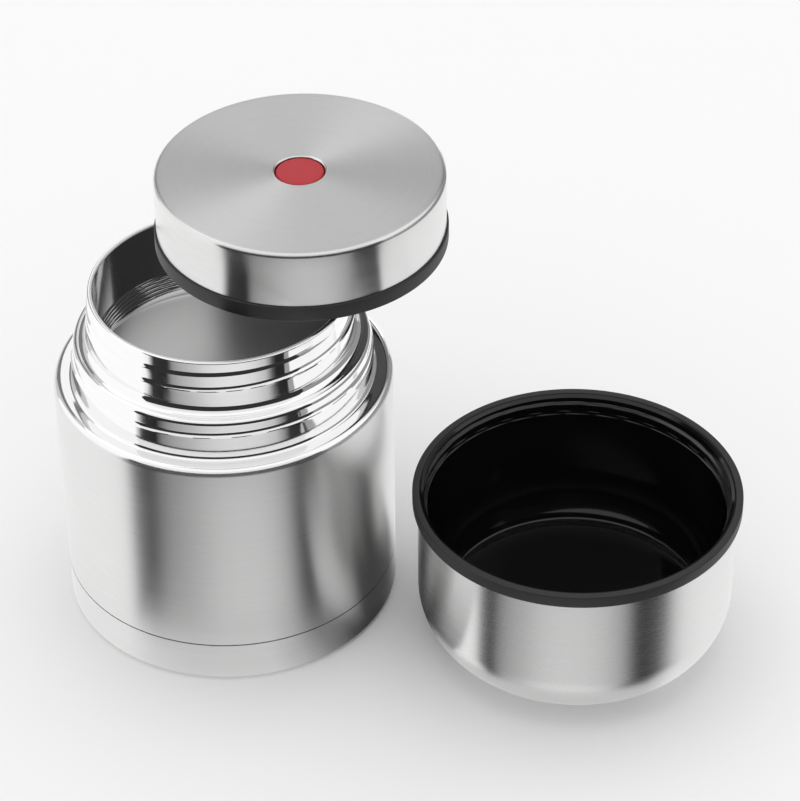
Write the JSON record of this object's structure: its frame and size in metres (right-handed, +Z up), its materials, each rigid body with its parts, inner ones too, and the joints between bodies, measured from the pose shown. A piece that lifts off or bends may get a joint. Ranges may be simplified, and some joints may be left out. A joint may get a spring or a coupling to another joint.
{
  "type": "insulated food jar",
  "caption": "Double-walled steel food jar with a screw lid that has a press button, and a bowl that screws on as its outer cover.",
  "frame": {"origin": "centre of the jar's foot, on the surface that it stands on", "axes": "+Z up along the jar's axis, +X to the right of the view in which the bowl stands right of the jar, +Y away from the viewer"},
  "size_m": [0.1939, 0.1376, 0.1267],
  "materials": {
    "brushed_steel": "fine brushing round the axis; neck and shoulder polished",
    "foil": "bright thin foil",
    "spring_steel": "plain drawn stainless steel",
    "getter": "pressed metal powder",
    "seal_glass": "fused glass bead",
    "black_plastic": "fine moulded grain",
    "liner_plastic": "smooth high gloss",
    "band_plastic": "fine satin grain",
    "red_plastic": "satin, lightly grained",
    "silicone": "translucent white silicone",
    "foam": "rigid closed-cell foam"
  },
  "bodies": {
    "jar": {"outer_shell": "brushed_steel", "inner_vessel": "brushed_steel", "heat_foil": "foil", "outer_bottom": "brushed_steel", "getter_clip": "spring_steel", "getter_pellet": "getter", "seal_bead": "seal_glass", "base_cup": "brushed_steel"},
    "gasket": {"lip_gasket": "silicone"},
    "lid": {"lid_cover": "brushed_steel", "lid_body": "black_plastic", "lid_foam": "foam", "plug_cover": "black_plastic", "button_guide": "black_plastic", "button_spring": "spring_steel"},
    "button": {"button": "red_plastic", "valve_stem": "spring_steel", "valve_seal": "silicone", "stem_clip": "spring_steel"},
    "bowl": {"bowl_shell": "brushed_steel", "bowl_liner": "liner_plastic", "bowl_band": "band_plastic"}
  },
  "joints": [
    {"name": "lid_lift", "type": "slide", "parent": "jar", "child": "gasket", "axis": [0, 0, 1], "range_m": [0, 0.06]},
    {"name": "lid_turn", "type": "hinge", "parent": "gasket", "child": "lid", "pos_m": [0.0226, 0.02308, 0.1047], "axis": [0, 0, 1], "continuous": true},
    {"name": "button_press", "type": "slide", "parent": "lid", "child": "button", "axis": [0, 0, -1], "range_m": [0, 0.002], "stiffness_N_per_m": 600, "springref_m": -0.001, "deforming": ["button_spring"]},
    {"name": "bowl_lift", "type": "slide", "parent": "jar", "child": "bowl", "axis": [0, 0, 1], "range_m": [0, 0.14]}
  ]
}
